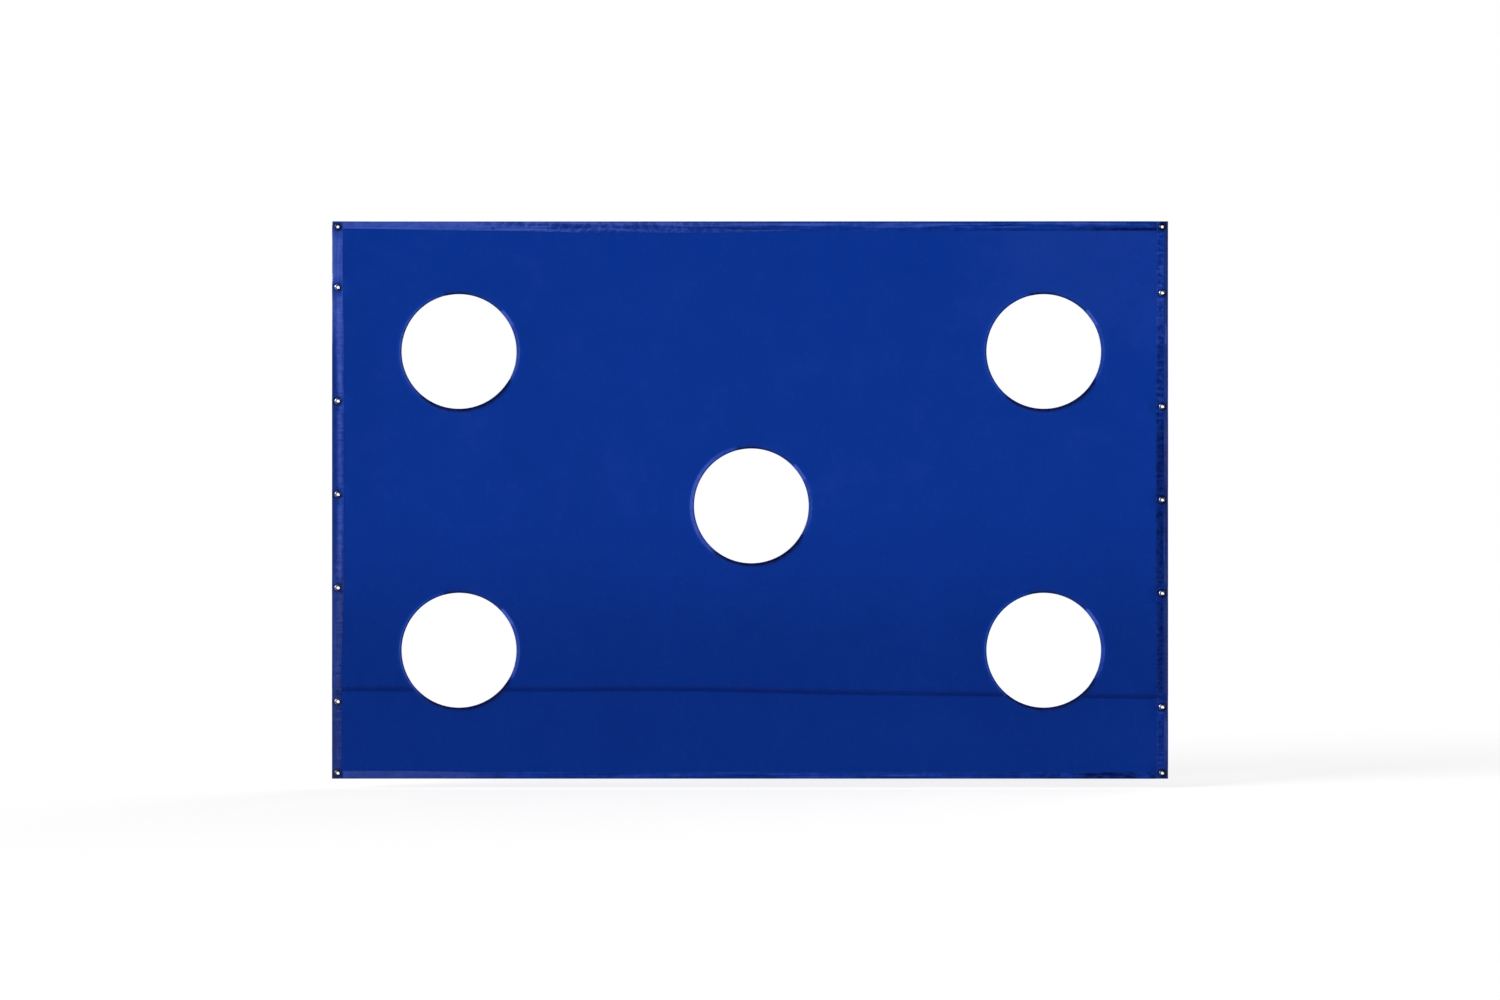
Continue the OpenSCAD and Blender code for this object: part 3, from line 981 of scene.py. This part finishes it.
class TARGETSHEET_OT_edge_bindings(Operator):
    """Make the tape folded round the four edges, with its stitching"""

    bl_idname = "target_sheet.edge_bindings"
    bl_label = "Edge bindings"

    def execute(self, context):
        for name, side in SIDES.items():
            z = np.linspace(-HALF_H, HALF_H, 607)
            slack = 0.55 + 0.45 * ripple(z, 40 + side, 0.35)
            wave = np.abs(ripple(z, 42 + side, 24 * MM, 6)) * np.clip(slack, 0.15, 1.4)
            front = SIDE_BAND + 4.5 * MM * ramp(z, 0.8, 0.55)
            front -= (10 if side < 0 else 3) * MM * ramp(z, -0.28, -0.63)
            bind(
                name, pairs(side * HALF_W, z), (-side, 0), (front, SIDE_BAND), FINE_SHARES, wave,
                lambda x, up: self.side_tones(side, HALF_W - np.abs(x), up),
                punched=True)
        for name, side, band in (("top", 1, TOP_BAND), ("bottom", -1, BOTTOM_BAND)):
            reach = HALF_W - SIDE_BAND
            x = np.linspace(-reach, reach, 700)
            slack = 0.4 + 0.8 * between(x, -0.98, -0.24, 0.2) + 0.35 * ripple(x, 50 + side, 0.4)
            wave = np.abs(ripple(x, 52 + side, 26 * MM, 6)) * np.clip(slack, 0.1, 1.5)
            if side > 0:
                front = band - 8 * MM * ramp(x, -0.85, -1.47)
                front += 6.5 * MM * between(x, -0.72, 0.1, 0.35)
            else:
                front = band + 4 * MM * ramp(x, -0.98, -1.28)
            bind(
                name, pairs(x, side * HALF_H), (0, -side), (front, band), FINE_SHARES, wave,
                lambda along, z: self.hem_tones(side, HALF_H - np.abs(z), along))
        return {"FINISHED"}

    def side_tones(self, side, depth, z):
        """The painted light and shade of a side tape, and its painted grey sheen. Shade is painted
        along the fold, round the eyelets and at the corners."""
        # Painted shade along the tape's fold
        fold = 0.25 if side < 0 else 0.5
        tone = 0.5 - fold * (1 - ramp(depth / MM, 2.1 + 2 * fold, 4.9 + 2 * fold))
        creased = crease_shading(1.6 * z, depth, 72)
        more, chalk = (self.left_tones if side < 0 else self.right_tones)(depth, z, creased)
        tone += more + 0.10 * streaks(z, depth, 78 + side, 90, 0.25, SIDE_BAND)
        x = side * (HALF_W - depth)
        # Painted shadow round each eyelet
        tone -= 0.42 * ramp(nearest(x, z, EYELET_PLACES), 19 * MM, 14 * MM)
        # Painted shade at the sheet's corners
        corner = np.hypot(depth, HALF_H - np.abs(z))
        size = np.where(z > 0, 18 * MM if side < 0 else 30 * MM, 26 * MM)
        return tone - 0.5 * ramp(corner, size, size - 10 * MM), chalk

    @staticmethod
    def left_tones(depth, z, creased):
        """Painted sheen, most of all high up, painted crease light and shade low down, and painted
        grey sheen there.
        """
        mm = depth / MM
        strip = 1 - ramp(depth, STRIP - 2.5 * MM, STRIP + 2.5 * MM)
        # Painted sheen on the band, strongest high up and darker low down
        sheen = 0.03 + 0.11 * ramp(z, 0.1, 0.7) - 0.24 * ramp(z, -0.05, -0.45)
        # A painted light ridge, with painted shade just inside it
        ridge = 0.17 * np.exp(-(((mm - 30) / 8.5) ** 2))
        ridge -= 0.15 * between(mm, 11, 23, 6)
        high = 0.10 * ramp(z, 0.5, 0.65) + 0.14 * ramp(z, 0.72, 0.82)
        high -= 0.04 + 0.14 * ramp(z, -0.55, -0.8)
        tone = 0.10 * between(z, -0.66, -0.2, 0.2) * between(mm, 6, 34, 8)
        tone += sheen * (1 - strip) + high * strip + (ridge - 0.03) * between(z, -0.28, 0.50, 0.15)
        # Painted light and shade of the cross wrinkles and creases
        crossed = 0.04 * ripple(z, 71, 30 * MM) + 0.07 * ripple(z, 76, 11 * MM)
        rough = 0.4 + 0.6 * ramp(z, 0.75, 0.6) + 0.9 * ramp(z, -0.05, -0.35)
        tone += (crossed + 0.10 * creased) * (1 - strip) * rough
        # Painted grey sheen, strongest low down
        low = ramp(z, -0.02, -0.37) * (1 + 0.5 * ripple(z, 71, 30 * MM))
        chalk = 0.10 + 0.17 * low + 0.08 * low * ramp(z, -0.3, -0.5) * (depth < STRIP)
        return tone, chalk

    @staticmethod
    def right_tones(depth, z, creased):
        """Painted shade; its plain outer strip has a painted light line, painted glints and painted
        grey sheen at its fold.
        """
        mm = depth / MM
        strip = 1 - ramp(depth, STRIP - MM, STRIP + MM)
        # Painted shade on the band
        shaded = 0.13 * ramp(z, 0.62, 0.52) + 0.15 * ramp(z, 0.36, 0.22) - 0.04
        shaded += 0.07 * between(z, -0.28, -0.02, 0.16) - 0.20 * ramp(z, -0.66, -0.78)
        # Painted glints and a painted light line on the outer strip
        glint = between(z, 0.557, 0.63, 0.02) + 0.7 * between(z, -0.215, -0.125, 0.03)
        inward = 6 * between(z, -0.28, 0.02, 0.1)
        line = between(mm, 4.5 + inward, 11 + inward, 3)
        tone = (line * (0.4 * glint + 0.24 * shaded) - 0.5 * shaded - 0.12) * strip
        # More painted shade inside the strip high up
        tone -= 0.17 * ramp(z, 0.36, 0.26) * between(mm, 6, 11, 3)
        # Painted light and shade of cross wrinkles and creases
        bars = 0.03 + 0.08 * between(z, 0.16, 0.60, 0.1)
        crossed = bars * ripple(z, 73, 27 * MM) + 0.06 * ripple(z, 74, 11 * MM)
        tone += (crossed + 0.13 * creased + 0.01 - shaded) * (1 - strip)
        # Painted grey sheen at the strip's fold
        return tone, (0.32 - 0.22 * ramp(mm, 4, 7)) * strip

    @staticmethod
    def hem_tones(side, depth, x):
        """The painted light and shade of a hem and its painted grey sheen: sheen at its left end,
        shade at its right.
        """
        mm = depth / MM
        # Painted shade along the hem's fold
        tone = 0.5 - 0.12 * (1 - ramp(mm, 2.5, 5.5))
        if side > 0:
            # Top hem: painted shade in its valley and at the right end, painted light on its upper
            # band, painted light lines and crease light and shade, and painted grey sheen at the
            # left
            tone -= 0.11 * between(x, -0.15, 1.0, 0.3) * (1 - ramp(mm, 6.5, 9.5))
            high = between(mm, 5, 18, 6)
            low = ramp(mm, 19, 25)
            valley = between(mm, 16, 25, 6)
            tone += 0.07 * ramp(x, 1, 0.2) + 0.31 * ramp(x, -0.35, -1.15)
            tone += 0.22 * between(x, -0.45, 0.32, 0.3) * high
            tone += (0.08 * between(x, 0.25, 0.75, 0.2) + 0.05 * ramp(x, 0.85, 0.95)) * high
            tone -= 0.14 * between(x, -0.95, 0.3, 0.35) * valley
            tone -= (0.10 * ramp(x, -0.1, 0.2) + 0.08 * ramp(x, 0.6, 0.9)) * low
            wedge = 24 - 12 * ramp(x, 1.05, 1.4)
            tone -= 0.22 * ramp(x, 1.02, 1.32) * ramp(mm, wedge - 3, wedge + 3)
            line = 0.20 * between(x, -1.42, -1.22, 0.08) * ramp(mm, 20, 23)
            line += 0.22 * between(x, 1.0, 1.36, 0.2) * between(mm, 7, 11, 3)
            tone += line + 0.22 * between(x, -1.05, -0.1, 0.35) * crease_shading(x, depth, 77)
            tone += 0.06 * crease_shading(0.6 * x, depth, 78)
            still = 1 - 0.75 * ramp(x, -0.85, -1.15)
            tone += 0.26 * still * streaks(x, depth, 82, 150, 0.30, TOP_BAND)
            chalk = 0.12 * ramp(x, 0.3, -0.1) - 0.06 * ramp(x, -0.9, -1.1)
        else:
            # Bottom hem: painted shade in patches towards the right, painted sheen at the left end,
            # and painted grey sheen there
            dark = 0.6 * between(x, -1.0, -0.87, 0.06) + 0.6 * between(x, 1.06, 1.10, 0.03)
            dark += between(x, 1.29, 1.385, 0.06) + 0.5 * between(x, 1.19, 1.30, 0.07)
            dark += 0.45 * ramp(x, 0.75, 0.95)
            tone += 0.23 * ramp(x, -0.75, -1.15) - 0.24 * dark - 0.04
            tone += (0.03 + 0.14 * ramp(x, 0.9, 1.1)) * crease_shading(x, depth, 81)
            tone += 0.14 * streaks(x, depth, 80, 90, 0.3, BOTTOM_BAND)
            chalk = 0.30 * ramp(x, -0.75, -1.15)
        return tone, chalk


class TARGETSHEET_OT_hole_bindings(Operator):
    """Make the tape folded round each target hole, lapped at its end"""

    bl_idname = "target_sheet.hole_bindings"
    bl_label = "Hole bindings"

    def execute(self, context):
        radius = context.scene.target_cloth.hole_radius
        lap = math.degrees(TAPE_LAP / radius)
        lap_start = LAP_END + 360 - lap
        for count, (name, place) in enumerate(TARGETS.items()):
            turn = np.linspace(LAP_END - lap, LAP_END + 360, 420)
            out = pairs(np.cos(np.radians(turn)), np.sin(np.radians(turn)))
            flare = 7 * MM if name == "centre" else 0
            front = (
                9 * MM
                - 2.5 * MM * between(turn % 360, 44, 79, 4)
                + 3.5 * MM * between(turn, 335, 410, 20)
                + 2 * MM * between(turn, 335, 387, 14)
                + flare * between(turn, 105, 232, 36)
                + 4 * MM * between(turn, 236, 330, 24))
            # Painted sheen on the left of each hole's tape, strongest round the centre hole
            sheen = 0.15 if name == "centre" else 0.04
            bind(
                name + "_hole", place + radius * out, out, (front, HOLE_TAPE_BACK), LEAF_SHARES,
                0.4 * np.abs(ripple(turn, 60 + count, 5.5, 6)),
                lambda x, z: (self.ring_tone(x - place[0], z - place[1], sheen),),
                raised=0.5 * MM * ramp(turn, lap_start, lap_start + 2))
        return {"FINISHED"}

    @staticmethod
    def ring_tone(x, z, sheen):
        """Painted shade along the fold and at the bottom, painted sheen at the left and painted
        highlights on the lap.
        """
        turn = np.degrees(np.arctan2(z, x)) % 360
        out = (np.hypot(x, z) - bpy.context.scene.target_cloth.hole_radius) / MM
        lap = np.clip(between(turn, -30, 44, 1.5) + between(turn, 338, 400, 20), 0, 1)
        left = between(turn, 103, 230, 6)
        head = between(turn, 79, 103, 2)
        foot = between(turn, 228, 332, 12)
        fade = ramp(out, 1.5 + 1.5 * head + 3.5 * foot, 6.5 + 3.5 * head + 10.5 * foot)
        # Painted shade along the fold, widest at the top and the bottom, less on the lap and at the
        # left
        fold_shade = (0.44 + 0.05 * (head + foot) - 0.28 * lap - 0.20 * left) * (1 - fade)
        # Painted sheen at the left and painted highlights on the lap
        light = sheen * left * ramp(out, 1.5, 4.5)
        light += (0.09 * between(out, 9, 17, 5) + 0.34 * between(turn, 26, 44, 3)) * lap
        return 0.5 - fold_shade + light


class TARGETSHEET_OT_eyelets(Operator):
    """Give the eyelets and washers their plated brass"""

    bl_idname = "target_sheet.eyelets"
    bl_label = "Eyelets"

    def execute(self, context):
        brass = finish_named("plated_brass", plated_brass)
        for name in EYELETS + WASHERS:
            node = frame["nodes"][name]
            node.data.materials.clear()
            node.data.materials.append(brass)
        return {"FINISHED"}


class TARGETSHEET_OT_stage(Operator):
    """Make the floor, the soft lights, the surrounding light and the camera"""

    bl_idname = "target_sheet.stage"
    bl_label = "Stage"

    def execute(self, context):
        self.floor(context)
        self.lights(context)
        self.surroundings(context)
        self.camera(context)
        context.scene.view_settings.view_transform = "Standard"
        return {"FINISHED"}

    @staticmethod
    def floor(context):
        """A pale floor that keeps a faint shadow."""
        f = Finish("pale_floor")
        camera = f.add("LightPath")["Is Camera Ray"]
        shade = f.mix(f.noise(3, 2), (0.84, 0.84, 0.84, 1), (0.88, 0.88, 0.88, 1))
        material = f.made({
            "Base Color": f.mix(camera, shade, (0.22, 0.22, 0.22, 1)),
            "Roughness": 0.9,
            "Specular IOR Level": 0,
            "Emission Color": WHITE,
            "Emission Strength": f.maths("MULTIPLY", camera, 0.77),
        })
        reach = 40
        corners = [(-reach, -reach, 0), (reach, -reach, 0), (reach, reach, 0), (-reach, reach, 0)]
        mesh = bpy.data.meshes.new("studio_floor")
        mesh.from_pydata(corners, [], [(0, 1, 2, 3)])
        mesh.materials.append(material)
        plane = bpy.data.objects.new("studio_floor", mesh)
        plane.location.z = context.scene.target_stage.floor
        plane.visible_glossy = False
        context.scene.collection.objects.link(plane)

    @staticmethod
    def lights(context):
        """A large soft light from the left, and a weaker one for the back."""
        stage = context.scene.target_stage
        for name, side, height, strength, size in (
                ("key_light", -stage.key_side, stage.key_height, stage.key, 30),
                ("back_light", -stage.key_side + math.pi, math.radians(35), 0.45 * stage.key, 60)):
            lamp = bpy.data.lights.new(name, "SUN")
            lamp.energy = strength
            lamp.angle = math.radians(size)
            lamp_object = bpy.data.objects.new(name, lamp)
            towards = Vector((
                -math.sin(side) * math.cos(height), math.cos(side) * math.cos(height),
                -math.sin(height)))
            lamp_object.rotation_euler = towards.to_track_quat("-Z", "Y").to_euler()
            context.scene.collection.objects.link(lamp_object)

    @staticmethod
    def surroundings(context):
        """The camera sees white, glossy surfaces a window at the left and the white behind the
        sheet, and all other light is even."""
        world = bpy.data.worlds.new("studio")
        context.scene.world = world
        world.use_nodes = True
        g = Graph(world.node_tree)
        g.nodes.clear()
        path = g.add("LightPath")
        way = g.add("SeparateXYZ", {0: g.add("TexCoord")["Generated"]})
        window = g.remap(way["X"], -0.28, -0.62, 0.02, 1, interpolation_type="SMOOTHSTEP")
        mirrored = g.maths("MAXIMUM", window, g.remap(way["Y"], 0.1, 0.3))
        seen = g.maths("MAXIMUM", path["Is Camera Ray"], path["Is Transmission Ray"])
        light = g.add("Background", {"Color": WHITE, "Strength": context.scene.target_stage.ambient})
        for share, strength in ((path["Is Glossy Ray"], mirrored), (seen, 1)):
            other = g.add("Background", {"Color": WHITE, "Strength": strength})
            light = g.add("MixShader", {0: share, 1: light[0], 2: other[0]})
        g.add("OutputWorld", {"Surface": light[0]})

    @staticmethod
    def camera(context):
        """A camera straight in front of the sheet."""
        stage = context.scene.target_stage
        lens = bpy.data.cameras.new("camera")
        lens.sensor_width = SENSOR
        lens.lens = SENSOR * stage.distance / stage.view_width
        lens.clip_end = 200
        camera = bpy.data.objects.new("camera", lens)
        camera.location = (0, -stage.distance, 0)
        camera.rotation_euler = (math.pi / 2, 0, 0)
        context.scene.collection.objects.link(camera)
        context.scene.camera = camera


class TARGETSHEET_PT_sidebar(Panel):
    """The sheet's sizes, finishes and pieces"""

    bl_idname = "TARGETSHEET_PT_sidebar"
    bl_label = "Target sheet"
    bl_space_type = "VIEW_3D"
    bl_region_type = "UI"
    bl_category = "Target sheet"

    def draw(self, context):
        layout = self.layout
        for settings in SETTINGS:
            group = getattr(context.scene, settings)
            box = layout.box()
            for field in group.bl_rna.properties:
                if not field.is_readonly and field.identifier != "name":
                    box.prop(group, field.identifier)
        for piece in OPERATORS:
            layout.operator(piece.bl_idname)


SETTINGS = {
    "target_cloth": ClothSettings,
    "target_stitching": StitchSettings,
    "target_finish": FinishSettings,
    "target_stage": StageSettings,
}
OPERATORS = (
    TARGETSHEET_OT_stage,
    TARGETSHEET_OT_panels,
    TARGETSHEET_OT_edge_bindings,
    TARGETSHEET_OT_hole_bindings,
    TARGETSHEET_OT_eyelets,
)
CLASSES = (*SETTINGS.values(), *OPERATORS, TARGETSHEET_PT_sidebar)


def register():
    for kind in CLASSES:
        bpy.utils.register_class(kind)
    for name, group in SETTINGS.items():
        setattr(bpy.types.Scene, name, PointerProperty(type=group))


def unregister():
    for name in SETTINGS:
        delattr(bpy.types.Scene, name)
    for kind in reversed(CLASSES):
        bpy.utils.unregister_class(kind)


def main():
    register()
    bpy.ops.target_sheet.stage()
    bpy.ops.target_sheet.panels()
    bpy.ops.target_sheet.edge_bindings()
    bpy.ops.target_sheet.hole_bindings()
    bpy.ops.target_sheet.eyelets()


if __name__ == "__main__":
    main()
